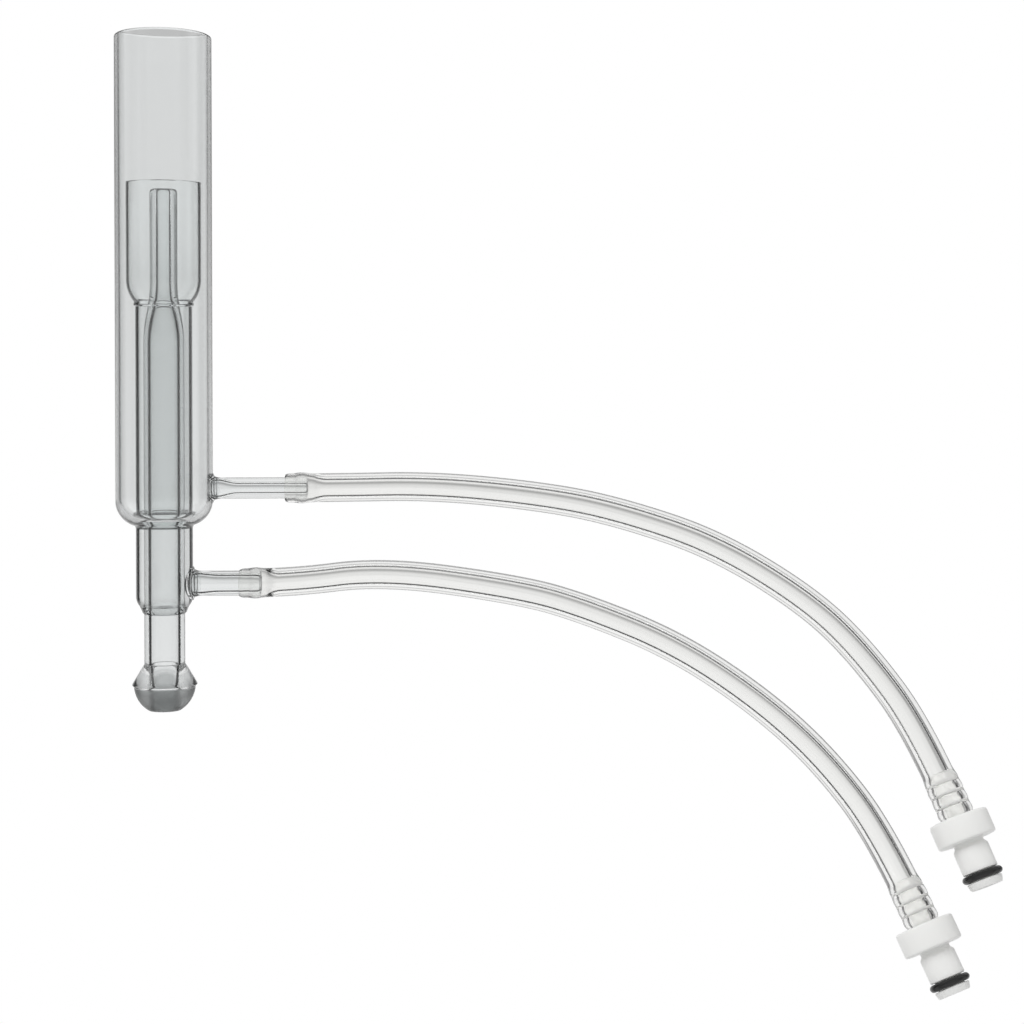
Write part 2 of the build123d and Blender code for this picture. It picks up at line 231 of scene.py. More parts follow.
def turned(name, outline, steps=128):
    """Draw a closed outline of (radius, height) in millimetres and spin it about Z."""
    select_none()
    start = Vector((outline[0][0], 0, outline[0][1])) * MM
    bpy.ops.mesh.primitive_plane_add(size=MM, location=start)
    piece = bpy.context.object
    piece.name = piece.data.name = name
    bpy.ops.object.transform_apply(location=True, rotation=True, scale=True)
    bpy.ops.object.mode_set(mode="EDIT")
    bpy.ops.mesh.select_all(action="SELECT")
    bpy.ops.mesh.merge(type="CENTER")
    here = start
    for radius, height in outline[1:] + outline[:1]:
        there = Vector((radius, 0, height)) * MM
        bpy.ops.mesh.extrude_vertices_move(TRANSFORM_OT_translate={"value": there - here})
        here = there
    bpy.ops.mesh.select_all(action="SELECT")
    bpy.ops.mesh.remove_doubles(threshold=MERGE)
    bpy.ops.mesh.spin(steps=steps, angle=tau, center=(0, 0, 0), axis=(0, 0, 1), use_auto_merge=False)
    bpy.ops.mesh.select_all(action="SELECT")
    bpy.ops.mesh.remove_doubles(threshold=MERGE)
    bpy.ops.mesh.normals_make_consistent(inside=False)
    bpy.ops.object.mode_set(mode="OBJECT")
    bpy.ops.object.shade_smooth_by_angle(angle=CREASE)
    return piece


def placed(piece, matrix):
    """Put a piece where it belongs, and apply its place to its mesh."""
    select_none()
    piece.select_set(True)
    bpy.context.view_layer.objects.active = piece
    piece.matrix_world = matrix
    bpy.ops.object.transform_apply(location=True, rotation=True, scale=True)
    return piece


def along_x(height):
    """The matrix that lays a piece turned about Z along +X, at a height in millimetres."""
    return Matrix.Translation((0, 0, height * MM)) @ Matrix.Rotation(pi / 2, 4, "Y")


def cut_round(piece, radius, reach):
    """Cut a piece back to an upright cylinder about the torch's axis."""
    select_none()
    bpy.ops.mesh.primitive_cylinder_add(vertices=256, radius=radius * MM, depth=reach * MM)
    cutter = bpy.context.object
    cutter.location.z = middle_height(piece)
    bpy.ops.object.transform_apply(location=True)
    select_none()
    piece.select_set(True)
    bpy.context.view_layer.objects.active = piece
    cut = piece.modifiers.new("Saddle", "BOOLEAN")
    cut.operation, cut.object, cut.solver = "DIFFERENCE", cutter, "EXACT"
    bpy.ops.object.modifier_apply(modifier=cut.name)
    bpy.data.objects.remove(cutter)
    bpy.ops.object.shade_smooth_by_angle(angle=CREASE)
    return piece


def middle_height(piece):
    """The middle height of a piece's mesh, in metres."""
    heights = [v.co.z for v in piece.data.vertices]
    return (min(heights) + max(heights)) / 2


def finished(piece, body, node, material):
    """Put a piece on its body in its node's place, with its finish."""
    piece.name = piece.data.name = f"{node}_finished"
    piece.data.materials.clear()
    piece.data.materials.append(material)
    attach(piece, body)
    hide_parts(node)
    return piece


# --------------------------------------------------------------------------- materials
def linear(code):
    """An sRGB hex colour as a linear RGBA value."""
    channels = [int(code[i : i + 2], 16) / 255 for i in (1, 3, 5)]
    return tuple(c / 12.92 if c <= 0.04045 else ((c + 0.055) / 1.055) ** 2.4 for c in channels) + (1.0,)


def add_node(tree, kind, settings=None, inputs=None, links=None):
    """Add a node with its settings, its sockets' values, and links into its sockets."""
    node = tree.nodes.new(kind)
    for key, value in (settings or {}).items():
        setattr(node, key, value)
    for key, value in (inputs or {}).items():
        node.inputs[key].default_value = value
    for key, source in (links or {}).items():
        tree.links.new(source, node.inputs[key])
    return node


def new_material(name):
    """An empty node material, its tree and its output."""
    old = bpy.data.materials.get(name)
    if old:
        return old, None, None
    material = bpy.data.materials.new(name)
    material.use_nodes = True
    material.node_tree.nodes.clear()
    output = add_node(material.node_tree, "ShaderNodeOutputMaterial")
    return material, material.node_tree, output


def clear_shader(tree, face, edge, ior, roughness, line):
    """A clear dielectric whose edges and bore lines are painted darker, by line from 0 to 1:
    painted shade that stands in for the dark surroundings which refraction and mirroring show.

    Seen from inside the wall, the bore mirrors from its critical angle on. The facing value there
    is 1 - cos(asin(1 / ior)), and the painted dark line is the narrow band that follows it.
    """
    critical = 1 - (1 - 1 / ior**2) ** 0.5
    facing = add_node(tree, "ShaderNodeLayerWeight", inputs={"Blend": 0.5})
    # painted shade: the colour darkens from the face colour to the edge colour as the surface turns edge on
    edge_shade_ramp = add_node(tree, "ShaderNodeValToRGB", links={"Fac": facing.outputs["Facing"]})
    edge_shade_ramp.color_ramp.elements[0].position = 0.72
    edge_shade_ramp.color_ramp.elements[0].color = linear(face)
    edge_shade_ramp.color_ramp.elements[1].position = 0.97
    edge_shade_ramp.color_ramp.elements[1].color = linear(edge)
    # painted shade: near the critical angle the inside of the wall is painted dark and made less clear
    band = add_node(tree, "ShaderNodeValToRGB", links={"Fac": facing.outputs["Facing"]})
    stops = ((critical - 0.012, 0), (critical + 0.002, 1), (critical + 0.085, 1), (critical + 0.14, 0))
    while len(band.color_ramp.elements) < len(stops):
        band.color_ramp.elements.new(0.5)
    for element, (place, value) in zip(band.color_ramp.elements, stops):
        element.position = place
        element.color = (value, value, value, 1.0)
    side = add_node(tree, "ShaderNodeNewGeometry")
    inner = add_node(
        tree,
        "ShaderNodeMath",
        {"operation": "MULTIPLY"},
        links={0: band.outputs["Color"], 1: side.outputs["Backfacing"]},
    )
    clear = add_node(
        tree, "ShaderNodeMath", {"operation": "MULTIPLY_ADD"}, {1: -line, 2: 1.0}, {0: inner.outputs[0]}
    )
    # 1C1E1E is the painted dark of the bore lines
    shade = add_node(
        tree,
        "ShaderNodeMixRGB",
        inputs={"Color2": linear("#1C1E1E")},
        links={"Fac": inner.outputs[0], "Color1": edge_shade_ramp.outputs["Color"]},
    )
    return add_node(
        tree,
        "ShaderNodeBsdfPrincipled",
        inputs={"IOR": ior, "Roughness": roughness},
        links={"Base Color": shade.outputs["Color"], "Transmission Weight": clear.outputs[0]},
    )


def quartz(name="fused_quartz_fire_polished", edge="quartz_painted_edge_shade", line=1.0):
    """Fused quartz, flame polished: clear and colourless, with painted shade at its edges and bore lines."""
    material, tree, output = new_material(name)
    if tree is None:
        return material
    finish = bpy.context.scene.torch_finish
    shader = clear_shader(tree, finish.quartz, getattr(finish, edge), QUARTZ_IOR, 0.0, line)
    tree.links.new(shader.outputs[0], output.inputs["Surface"])
    volume = add_node(
        tree, "ShaderNodeVolumeAbsorption", inputs={"Color": linear("#B9BCBC"), "Density": 60.0}
    )
    tree.links.new(volume.outputs[0], output.inputs["Volume"])
    return material


def ground_quartz():
    """Fused quartz with a fine ground zone below the ball's ridge, flame polished above it."""
    material, tree, output = new_material("fused_quartz_ground_ball")
    if tree is None:
        return material
    finish = bpy.context.scene.torch_finish
    place = add_node(tree, "ShaderNodeTexCoord")
    axes = add_node(tree, "ShaderNodeSeparateXYZ", links={"Vector": place.outputs["Object"]})
    zone = add_node(
        tree,
        "ShaderNodeMapRange",
        inputs={"From Min": 0.0, "From Max": -0.0008, "To Min": 0.02, "To Max": 0.42},
        links={"Value": axes.outputs["Z"]},
    )
    # painted shade at the edges and bore lines, as on the clear quartz
    shader = clear_shader(tree, finish.quartz, finish.quartz_painted_edge_shade, QUARTZ_IOR, 0.0, 0.9)
    tree.links.new(zone.outputs["Result"], shader.inputs["Roughness"])
    depth = add_node(
        tree,
        "ShaderNodeMapRange",
        inputs={"From Min": 0.0, "From Max": -0.0008},
        links={"Value": axes.outputs["Z"]},
    )
    dulled = add_node(
        tree,
        "ShaderNodeMixRGB",
        {"blend_type": "MULTIPLY"},
        {"Color2": linear(finish.ground)},
        {"Fac": depth.outputs["Result"], "Color1": shader.inputs["Base Color"].links[0].from_socket},
    )
    tree.links.new(dulled.outputs[0], shader.inputs["Base Color"])
    tree.links.new(shader.outputs[0], output.inputs["Surface"])
    return material


def vinyl():
    """Plasticised vinyl hose, extruded: clear, limp, soft gloss; painted shade at its edges and bore lines.
    """
    material, tree, output = new_material("plasticised_vinyl_extruded")
    if tree is None:
        return material
    finish = bpy.context.scene.torch_finish
    shader = clear_shader(tree, finish.vinyl, finish.vinyl_painted_edge_shade, VINYL_IOR, 0.015, 0.7)
    tree.links.new(shader.outputs[0], output.inputs["Surface"])
    return material


def acetal():
    """Natural acetal, injection moulded: milky white, slightly translucent, satin."""
    material, tree, output = new_material("acetal_moulded_natural")
    if tree is None:
        return material
    finish = bpy.context.scene.torch_finish
    shader = add_node(
        tree,
        "ShaderNodeBsdfPrincipled",
        inputs={
            "Base Color": linear(finish.acetal),
            "Roughness": 0.38,
            "IOR": 1.48,
            "Subsurface Weight": 0.35,
            "Subsurface Radius": (0.002, 0.002, 0.002),
            "Subsurface Scale": 1.0,
        },
    )
    tree.links.new(shader.outputs[0], output.inputs["Surface"])
    return material


def rubber():
    """Nitrile rubber, moulded and greased: near black with a soft gloss."""
    material, tree, output = new_material("nitrile_rubber_greased")
    if tree is None:
        return material
    finish = bpy.context.scene.torch_finish
    shader = add_node(
        tree,
        "ShaderNodeBsdfPrincipled",
        inputs={"Base Color": linear(finish.rubber), "Roughness": 0.3, "IOR": 1.52},
    )
    tree.links.new(shader.outputs[0], output.inputs["Surface"])
    return material


# ------------------------------------------------------------------------------- stage
# The studio round the glass, as (place, brightness). Clear glass shows only what it bends into
# view, so its lines are drawn by dark screens that stand aside of a bright background.
SKY = [(-1, 0.9), (-0.30, 0.95), (-0.14, 0.9), (0, 0.78), (0.09, 0.55), (0.148, 0.36), (0.19, 0.36),
       (0.26, 0.55), (0.38, 0.9), (1, 0.9)]
RINGS = [(-1, 0.95), (-0.62, 0.95), (-0.52, 0.5), (-0.30, 0.5), (-0.20, 1), (0.14, 1), (0.22, 0.25),
         (0.44, 0.25), (0.56, 1), (1, 1)]
PANELS = [(-180, 1), (-84, 1), (-76, 0.3), (-50, 0.3), (-42, 0.9), (-27, 1), (7, 1), (24, 0.9), (30, 0.5),
          (56, 0.5), (64, 1), (180, 1)]


class TORCH_OT_stage(bpy.types.Operator):
    """Set up the camera, the pale floor and the soft studio light"""

    bl_idname = "torch.stage"
    bl_label = "Stage"

    def execute(self, context):
        scene = context.scene
        scene.view_settings.view_transform = "Standard"
        scene.cycles.max_bounces = 40
        scene.cycles.transmission_bounces = 40
        scene.cycles.glossy_bounces = 12
        select_none()
        eye = Vector((72.475, -391.0, 58.85)) * MM
        bpy.ops.object.camera_add(location=eye, rotation=(pi / 2, 0.0034, 0))
        camera = context.object
        camera.data.lens = 66.0
        camera.data.sensor_width = 36.0
        camera.data.shift_y = -0.1094
        camera.data.clip_start, camera.data.clip_end = 0.01, 50.0
        scene.camera = camera
        self.light(scene)
        self.floor(scene)
        return {"FINISHED"}

    def light(self, scene):
        world = bpy.data.worlds.new("studio")
        world.use_nodes = True
        scene.world = world
        tree = world.node_tree
        tree.nodes.clear()
        place = add_node(tree, "ShaderNodeTexCoord")
        axes = add_node(tree, "ShaderNodeSeparateXYZ", links={"Vector": place.outputs["Generated"]})
        sky = self.ramp(tree, axes.outputs["Z"], -1, 1, SKY)
        rings = self.ramp(tree, axes.outputs["Y"], -1, 1, RINGS)
        turn = add_node(
            tree,
            "ShaderNodeMath",
            {"operation": "ARCTAN2"},
            links={0: axes.outputs["X"], 1: axes.outputs["Y"]},
        )
        panels = self.ramp(tree, turn.outputs[0], -pi, pi, [(radians(az), value) for az, value in PANELS])
        off_level = add_node(tree, "ShaderNodeMath", {"operation": "ABSOLUTE"}, links={0: axes.outputs["Z"]})
        clear = add_node(
            tree,
            "ShaderNodeMapRange",
            inputs={"From Min": 0.21, "From Max": 0.30},
            links={"Value": off_level.outputs[0]},
        )
        panels = add_node(
            tree, "ShaderNodeMath", {"operation": "MAXIMUM"}, links={0: panels, 1: clear.outputs["Result"]}
        )
        value = add_node(tree, "ShaderNodeMath", {"operation": "MULTIPLY"}, links={0: sky, 1: rings})
        studio = add_node(
            tree,
            "ShaderNodeMath",
            {"operation": "MULTIPLY"},
            links={0: value.outputs[0], 1: panels.outputs[0]},
        )
        studio_light = add_node(tree, "ShaderNodeBackground", links={"Color": studio.outputs[0]})
        white = add_node(tree, "ShaderNodeBackground", inputs={"Color": (1, 1, 1, 1), "Strength": 1.0})
        ray = add_node(tree, "ShaderNodeLightPath")
        # what lies inside clear vinyl gets more of the soft fill, which its wall takes away again
        through = add_node(
            tree,
            "ShaderNodeMapRange",
            inputs={"From Max": 3.0, "To Min": 0.66, "To Max": 1.9},
            links={"Value": ray.outputs["Transmission Depth"]},
        )
        fill = add_node(
            tree,
            "ShaderNodeBackground",
            inputs={"Color": (1, 1, 1, 1)},
            links={"Strength": through.outputs["Result"]},
        )
        soft = add_node(tree, "ShaderNodeMixShader", links={0: ray.outputs["Diffuse Depth"]})
        tree.links.new(studio_light.outputs[0], soft.inputs[1])
        tree.links.new(fill.outputs[0], soft.inputs[2])
        seen = add_node(tree, "ShaderNodeMixShader", links={0: ray.outputs["Is Camera Ray"]})
        tree.links.new(soft.outputs[0], seen.inputs[1])
        tree.links.new(white.outputs[0], seen.inputs[2])
        output = add_node(tree, "ShaderNodeOutputWorld")
        tree.links.new(seen.outputs[0], output.inputs["Surface"])
        bpy.ops.object.light_add(type="AREA", location=(-0.25, -0.45, 0.55))
        key = bpy.context.object
        key.data.energy, key.data.size = 2.2, 0.35
        key.rotation_euler = (Vector((0.1, 0, 0.0)) - key.location).to_track_quat("-Z", "Y").to_euler()
        key.visible_glossy = key.visible_transmission = False

    def ramp(self, tree, source, first, last, stops):
        """A grey ramp over a value from first to last, with its stops given in that value."""
        limits = {"From Min": first, "From Max": last}
        spread = add_node(tree, "ShaderNodeMapRange", inputs=limits, links={"Value": source})
        ramp = add_node(tree, "ShaderNodeValToRGB", links={"Fac": spread.outputs["Result"]})
        while len(ramp.color_ramp.elements) < len(stops):
            ramp.color_ramp.elements.new(0.5)
        for element, (place, value) in zip(ramp.color_ramp.elements, stops):
            element.position = (place - first) / (last - first)
            element.color = (value, value, value, 1.0)
        return ramp.outputs["Color"]

    def floor(self, scene):
        lowest = CAD_BOX[0].z - 2 * MM
        bpy.ops.mesh.primitive_plane_add(size=6.0, location=(0.07, 0, lowest))
        floor = bpy.context.object
        floor.name = "floor"
        material, tree, output = new_material("painted_board_white")
        glow = add_node(tree, "ShaderNodeEmission", inputs={"Color": (1, 1, 1, 1), "Strength": 1.0})
        tree.links.new(glow.outputs[0], output.inputs["Surface"])
        floor.data.materials.append(material)
        floor.visible_transmission = floor.visible_glossy = floor.visible_diffuse = False
        floor.visible_shadow = False


# ---------------------------------------------------------------------------- the glass
class TORCH_OT_outer_tube(bpy.types.Operator):
    """Turn the outer tube and the ring that seals its base"""

    bl_idname = "torch.outer_tube"
    bl_label = "Outer tube"

    def execute(self, context):
        glass = context.scene.torch_glass
        radius, rim, base = high("outer_tube").x, high("outer_tube").z, low("outer_tube").z
        bore, stem, gap = radius - glass.outer_wall, high("intermediate_stem").x, glass.weld_gap
        ring_r = high("outer_seal_ring").x
        shoulder = base + glass.round_base
        outside = leaving_upright((radius, shoulder), (ring_r + gap, base), 18)
        inside = leaving_upright((bore, shoulder + 0.4), (ring_r + gap, base + 1.5), 14)
        outline = rounded_rim(bore, radius, rim)[::-1] + outside + inside[::-1]
        tube = turned("outer_tube", outline, 192)
        # the wide outer tube gets a lighter painted edge shade and fainter painted bore lines
        wide = quartz("fused_quartz_drawn_tube", "tube_painted_edge_shade", 0.25)
        finished(tube, "torch", "outer_tube", wide)
        under = leaving_upright((stem + gap, low("outer_seal_ring").z), (ring_r, base), 6)
        over = leaving_upright((stem + gap, high("outer_seal_ring").z), (ring_r, base + 1.5), 6)
        ring = turned("outer_seal_ring", under + over[::-1])
        finished(ring, "torch", "outer_seal_ring", quartz())
        return {"FINISHED"}


class TORCH_OT_intermediate_tube(bpy.types.Operator):
    """Turn the tulip head, its stem and the welds between them"""

    bl_idname = "torch.intermediate_tube"
    bl_label = "Intermediate tube"

    def execute(self, context):
        glass = context.scene.torch_glass
        gap = glass.weld_gap
        head_top, stem_end = high("intermediate_tube"), high("intermediate_stem")
        radius, lip, base = head_top.x, head_top.z, low("intermediate_tube").z
        stem, top, foot = stem_end.x, stem_end.z, low("intermediate_stem").z
        bore, stem_bore = radius - glass.tulip_wall, stem - glass.stem_wall
        straight = base + 4.6
        outside = leaving_upright((radius, straight), (stem + 0.2, base + gap), 14)
        inside = leaving_upright((bore, straight + 0.2), (stem_bore, base + gap), 14)
        head = turned("intermediate_tube", rounded_rim(bore, radius, lip)[::-1] + outside + inside[::-1], 160)
        finished(head, "torch", "intermediate_tube", quartz())

        bulge = high("intermediate_seal_ring").x
        ring = turned(
            "intermediate_seal_ring",
            [(stem + 0.2, base), (bulge, base - 0.35), (bulge, base - 0.6), (stem + 0.05, top + gap),
             (stem_bore, top + gap), (stem_bore, base)],
        )
        finished(ring, "torch", "intermediate_seal_ring", quartz())

        taper = foot + 2.1
        tube = turned(
            "intermediate_stem",
            [(stem, top)] + leaving_upright((stem, taper), (stem - 0.8, foot), 8)
            + leaving_upright((stem_bore, taper + 0.2), (stem_bore - 0.55, foot), 8)[::-1]
            + [(stem_bore, top)],
            160,
        )
        finished(tube, "torch", "intermediate_stem", quartz())

        barrel = high("injector_barrel").x
        seal_foot, seal_top = low("inner_seal_ring").z, high("inner_seal_ring").z
        seal = turned(
            "inner_seal_ring",
            [(barrel + gap, seal_foot), (barrel + 0.35, seal_foot + 0.35), (stem - 0.8, foot - gap),
             (stem_bore - 0.55, foot - gap), (barrel + gap, seal_top)],
        )
        finished(seal, "torch", "inner_seal_ring", quartz())
        return {"FINISHED"}


class TORCH_OT_injector(bpy.types.Operator):
    """Turn the injector's capillary, its flare and barrel, and the neck below it"""

    bl_idname = "torch.injector"
    bl_label = "Injector"

    def execute(self, context):
        glass = context.scene.torch_glass
        gap = glass.weld_gap
        tip, tip_top = high("injector_capillary").x, high("injector_capillary").z
        flare_top = high("injector_barrel").z
        barrel, barrel_foot = high("injector_barrel").x, low("injector_barrel").z
        flare_foot = flare_top - 12.5
        rim = rounded_rim(glass.tip_bore, tip, tip_top, count=10)[::-1]
        joint = [(tip, flare_top + gap), (glass.tip_bore, flare_top + gap)]
        capillary = turned("injector_capillary", rim + joint)
        finished(capillary, "torch", "injector_capillary", quartz())
        outside = flare((tip, flare_top), (barrel, flare_foot), 10)
        inside = flare((glass.tip_bore, flare_top), (glass.barrel_bore, flare_foot), 10)
        foot = [(barrel, barrel_foot + gap), (glass.barrel_bore, barrel_foot + gap)]
        body = turned("injector_barrel", outside + foot + inside[::-1])
        finished(body, "torch", "injector_barrel", quartz())
        neck_foot = low("neck_tube").z
        neck = turned(
            "neck_tube",
            [(barrel, barrel_foot), (barrel, neck_foot + gap),
             (glass.barrel_bore, neck_foot + gap), (glass.barrel_bore, barrel_foot)],
        )
        finished(neck, "torch", "neck_tube", quartz())
        return {"FINISHED"}


class TORCH_OT_ball_joint(bpy.types.Operator):
    """Turn the ground ball below the neck"""

    bl_idname = "torch.ball_joint"
    bl_label = "Ball joint"

    def execute(self, context):
        glass = context.scene.torch_glass
        ridge, top, end = high("ball_joint").x, high("ball_joint").z, low("ball_joint").z
        neck, sphere = high("neck_tube").x, BALL_R
        ground_top = -0.5
        first, last = atan2(ground_top, sphere), atan2(end, (sphere**2 - end**2) ** 0.5)
        zone = [
            (sphere * cos(first + (last - first) * i / 20), sphere * sin(first + (last - first) * i / 20))
            for i in range(21)
        ]
        outline = [(neck, top), (neck + 0.5, top - 0.75), (ridge - 0.12, 0.25), (ridge, 0.05), (ridge, -0.1)]
        outline += zone + [(zone[-1][0] - 0.25, end), (glass.way + 0.2, end), (glass.way, end + 0.2)]
        outline += [(glass.way, -1.2), (glass.barrel_bore, -0.6), (glass.barrel_bore, top)]
        ball = turned("ball_joint", outline, 160)
        finished(ball, "torch", "ball_joint", ground_quartz())
        return {"FINISHED"}


class TORCH_OT_gas_arms(bpy.types.Operator):
    """Turn the two side arms and the fillets of glass round their roots"""

    bl_idname = "torch.gas_arms"
    bl_label = "Gas arms"

    def execute(self, context):
        arms = context.scene.torch_arms
        for name, wall_node, bore, root_bore in (
            ("plasma", "outer_tube", arms.plasma_bore, arms.plasma_root),
            ("auxiliary", "intermediate_stem", arms.auxiliary_bore, arms.auxiliary_root),
        ):
            self.arm(context, name, high(wall_node).x, bore, root_bore)
        return {"FINISHED"}

    def arm(self, context, name, root, bore, root_bore):
        arms, gap = context.scene.torch_arms, context.scene.torch_glass.weld_gap
        node = f"{name}_gas_arm"
        lo, hi = low(node), high(node)
        height, end = (lo.z + hi.z) / 2, hi.x
        radius = (hi.z - lo.z) / 2 - arms.olive
        olive = end - arms.olive_back
        outline = [(root_bore, root - 1.0), (radius, root - 1.0), (radius, root + 1.5), (radius, olive - 2.0)]
        for i in range(9):
            angle = pi * i / 8 - pi / 2
            proud = arms.olive * max(cos(angle), 0.0) ** 1.5
            outline.append((radius + proud, olive + 1.1 * sin(angle)))
        for i in range(1, 7):
            angle = pi / 2 * i / 6
            rise = 0.25 * sin(angle)
            outline.append((radius - 0.3 + 0.3 * cos(angle) - rise, end - 0.25 + rise))
        outline += [(bore + 0.3, end), (bore + 0.06, end - 0.12), (bore, end - 0.4)]
        for i in range(9):
            outline.append((bore + (root_bore - bore) * ease(i / 8), root + 5.4 - 4.4 * i / 8))
        piece = placed(turned(node, outline, 96), along_x(height))
        cut_round(piece, root + gap, 20)
        finished(piece, "torch", node, quartz())

        fillet = [(radius + gap, root - 1.2)]
        for i in range(9):
            angle = pi / 2 * i / 8
            fillet.append((radius + gap + 0.9 * (1 - sin(angle)), root + 0.1 + 1.5 * (1 - cos(angle))))
        fillet.insert(1, (radius + gap + 0.9, root - 1.2))
        ring = placed(turned(f"{name}_arm_weld", fillet, 96), along_x(height))
        cut_round(ring, root + gap, 20)
        finished(ring, "torch", f"{name}_arm_weld", quartz())


# -------------------------------------------------------------------- hoses, connectors
def plug_matrix(route):
    """The matrix that stands a connector, turned about Z, on its route's end."""
    end = Vector(route[-1])
    along = (end - Vector(route[-2])).normalized()
    across = along.cross(Vector((0, 1, 0))).normalized()
    turn = Matrix((across, along.cross(across), along)).transposed().to_4x4()
    return Matrix.Translation(end) @ turn


def spline_points(route):
    """The points of the smooth curve that a route's points shape."""
    line = bpy.data.curves.new("route", "CURVE")
    line.dimensions = "3D"
    line.resolution_u = 40
    spline = line.splines.new("NURBS")
    spline.points.add(len(route) - 1)
    for point, place in zip(spline.points, route):
        point.co = (*place, 1.0)
    spline.order_u = 3
    spline.use_endpoint_u = True
    holder = bpy.data.objects.new("route", line)
    bpy.context.collection.objects.link(holder)
    mesh = bpy.data.meshes.new_from_object(holder)
    points = [v.co.copy() for v in mesh.vertices]
    bpy.data.objects.remove(holder)
    bpy.data.curves.remove(line)
    bpy.data.meshes.remove(mesh)
    return points


def evenly(points, step):
    """Points every step along a line, its ends kept."""
    runs = [(b - a).length for a, b in zip(points, points[1:])]
    total = sum(runs)
    count = ceil(total / step)
    even, i, passed = [], 0, 0.0
    for k in range(count + 1):
        want = total * k / count
        while i < len(runs) - 1 and passed + runs[i] < want:
            passed += runs[i]
            i += 1
        even.append(points[i].lerp(points[i + 1], min((want - passed) / runs[i], 1.0)))
    return even, total


def hollow_tube(name, path, outer, inner, sides):
    """A closed tube wall swept along a path, with an outer and an inner radius at each point."""
    across = (path[1] - path[0]).cross(Vector((0, 1, 0))).normalized()
    verts, faces = [], []
    for i, here in enumerate(path):
        ahead = (path[min(i + 1, len(path) - 1)] - path[max(i - 1, 0)]).normalized()
        across = (across - ahead * across.dot(ahead)).normalized()
        aside = ahead.cross(across)
        for radius in (outer[i], inner[i]):
            for k in range(sides):
                angle = tau * k / sides
                verts.append(here + (across * cos(angle) + aside * sin(angle)) * radius)
    ring = 2 * sides
    last = (len(path) - 1) * ring
    for i in range(len(path) - 1):
        for k in range(sides):
            n, row = (k + 1) % sides, i * ring
            faces.append((row + k, row + n, row + ring + n, row + ring + k))
            faces.append((row + sides + n, row + sides + k, row + ring + sides + k, row + ring + sides + n))
    for k in range(sides):
        n = (k + 1) % sides
        faces.append((n, k, sides + k, sides + n))
        faces.append((last + k, last + n, last + sides + n, last + sides + k))
    mesh = bpy.data.meshes.new(name)
    mesh.from_pydata([tuple(v) for v in verts], [], faces)
    piece = bpy.data.objects.new(name, mesh)
    bpy.context.collection.objects.link(piece)
    select_none()
    piece.select_set(True)
    bpy.context.view_layer.objects.active = piece
    bpy.ops.object.mode_set(mode="EDIT")
    bpy.ops.mesh.select_all(action="SELECT")
    bpy.ops.mesh.normals_make_consistent(inside=False)
    bpy.ops.object.mode_set(mode="OBJECT")
    bpy.ops.object.shade_smooth_by_angle(angle=CREASE)
    return piece


class TORCH_OT_connectors(bpy.types.Operator):
    """Turn the two moulded connectors and their O-rings"""

    bl_idname = "torch.connectors"
    bl_label = "Connectors"

    def execute(self, context):
        for name, route in (("plasma", PLASMA_ROUTE), ("auxiliary", AUXILIARY_ROUTE)):
            self.plug(context, name, plug_matrix(route))
            self.seal(context, name, plug_matrix(route))
        return {"FINISHED"}

    def plug(self, context, name, place):
        c = context.scene.torch_connector
        nose_top = c.collar_length + c.latch_length
        seal = nose_top + c.seal_back
        end = seal + c.end_length
        outline = [(c.tail_bore + 0.15, -c.tail_length), (c.tail - 0.15, -c.tail_length)]
        outline.append((c.tail, -c.tail_length + 0.15))
        for i in range(3):
            start = -c.tail_length + 0.3 + i * c.barb_pitch
            tip = start + c.barb_length
            outline += [(c.tail, start), (c.barb - 0.06, tip - 0.12), (c.barb, tip - 0.04),
                        (c.barb - 0.04, tip + 0.03), (c.tail, tip + 0.12)]
        outline += [(c.tail, -0.6), (c.tail + 0.2, -0.15), (c.tail + 0.6, 0.0)]
        outline += self.corner(c.collar, 0.0, -1, 0.45)
        outline += self.corner(c.collar, c.collar_length, 1, 0.45)
        outline += [(c.latch + 0.25, c.collar_length), (c.latch, c.collar_length + 0.25)]
        outline += [(c.latch, nose_top - 0.55), (c.nose - 0.12, nose_top - 0.08), (c.nose, nose_top + 0.1)]
        outline += [(c.nose, seal - 0.95), (c.nose - 0.12, seal - 0.82), (c.seal_seat + 0.1, seal - 0.8)]
        outline += [(c.seal_seat, seal - 0.7), (c.seal_seat, seal + 0.7), (c.seal_seat + 0.1, seal + 0.8)]
        outline += [(c.nose - 0.12, seal + 0.82), (c.nose, seal + 0.95), (c.end + 0.06, end - 0.2)]
        outline += [(c.end - 0.1, end), (c.nose_bore + 0.15, end), (c.nose_bore, end - 0.15)]
        outline += [(c.nose_bore, 1.5), (c.tail_bore, 0.8), (c.tail_bore, -c.tail_length + 0.15)]
        piece = placed(turned(f"{name}_connector", outline, 96), place)
        finished(piece, f"{name}_line", f"{name}_connector", acetal())

    def corner(self, radius, height, way, size, count=5):
        """A rounded corner at a disc's edge, walked from the axis out if way is -1, or back in."""
        points = []
        for i in range(count + 1):
            angle = pi / 2 * i / count
            if way < 0:
                points.append((radius - size + size * sin(angle), height + size - size * cos(angle)))
            else:
                points.append((radius - size + size * cos(angle), height - size + size * sin(angle)))
        return points

    def seal(self, context, name, place):
        c = context.scene.torch_connector
        middle = c.collar_length + c.latch_length + c.seal_back
        count = 32
        outline = []
        for i in range(count):
            angle = tau * i / count
            flash = 0.025 if i in (0, count // 2) else 0.0
            reach = c.seal_cord + flash
            outline.append((c.seal_seat + c.seal_cord + reach * cos(angle), middle + reach * sin(angle)))
        piece = placed(turned(f"{name}_connector_seal", outline, 128), place)
        finished(piece, f"{name}_line", f"{name}_connector_seal", rubber())


